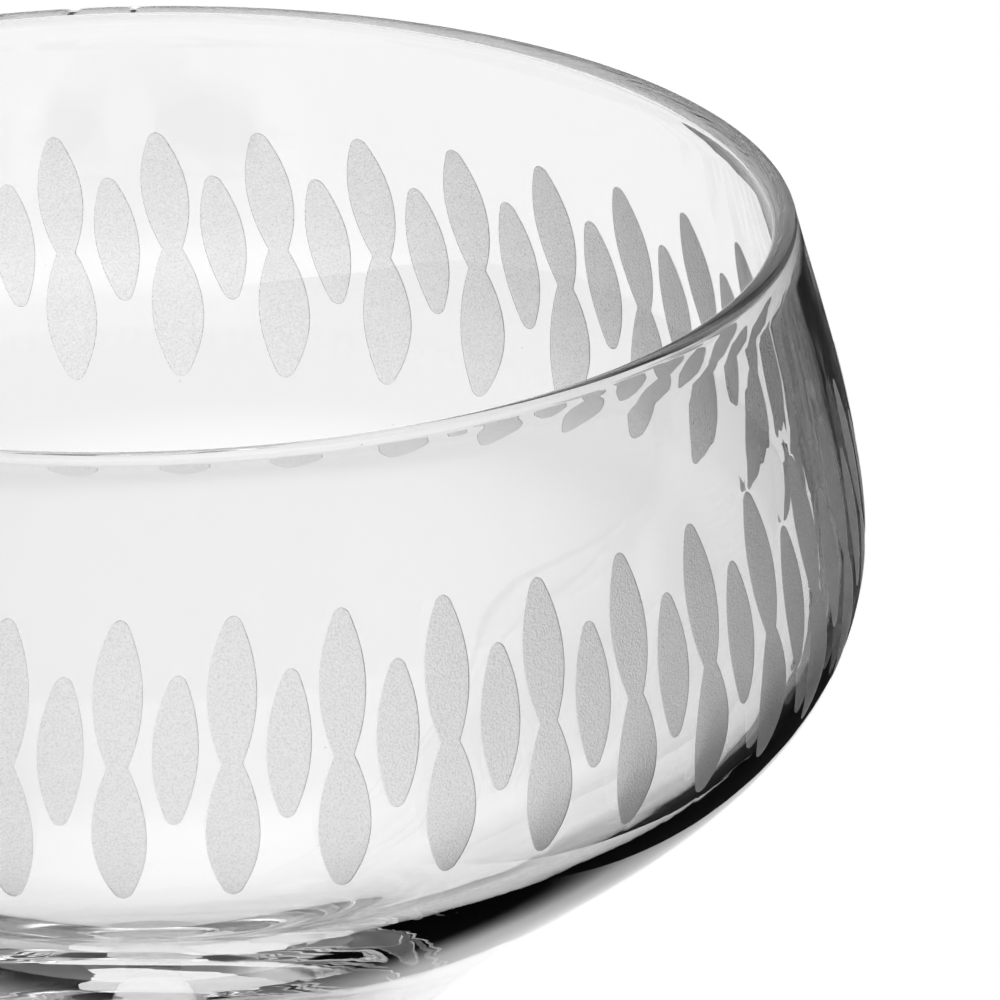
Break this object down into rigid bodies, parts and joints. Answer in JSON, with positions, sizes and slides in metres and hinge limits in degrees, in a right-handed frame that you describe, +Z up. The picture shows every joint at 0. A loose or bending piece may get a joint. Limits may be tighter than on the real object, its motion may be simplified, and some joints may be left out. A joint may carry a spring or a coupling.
{
  "type": "margarita glass",
  "caption": "Stemmed cocktail glass with a wide rounded bowl that leans in at the lip and carries a frosted petal frieze, on a slim drawn stem and a round foot.",
  "frame": {"origin": "middle of the resting plane under the foot, on the axis of the glass", "axes": "+Z up along the axis of the glass; +X to the right and -Y towards the viewer in the picture"},
  "size_m": [0.11, 0.11, 0.165],
  "materials": {
    "bowl_glass": "clear fire-polished glass with sand-frosted petals outside",
    "stem_glass": "clear drawn glass",
    "foot_glass": "clear pressed glass, fire-polished edge"
  },
  "bodies": {
    "root": {"bowl": "bowl_glass", "stem": "stem_glass", "foot": "foot_glass"}
  },
  "joints": []
}
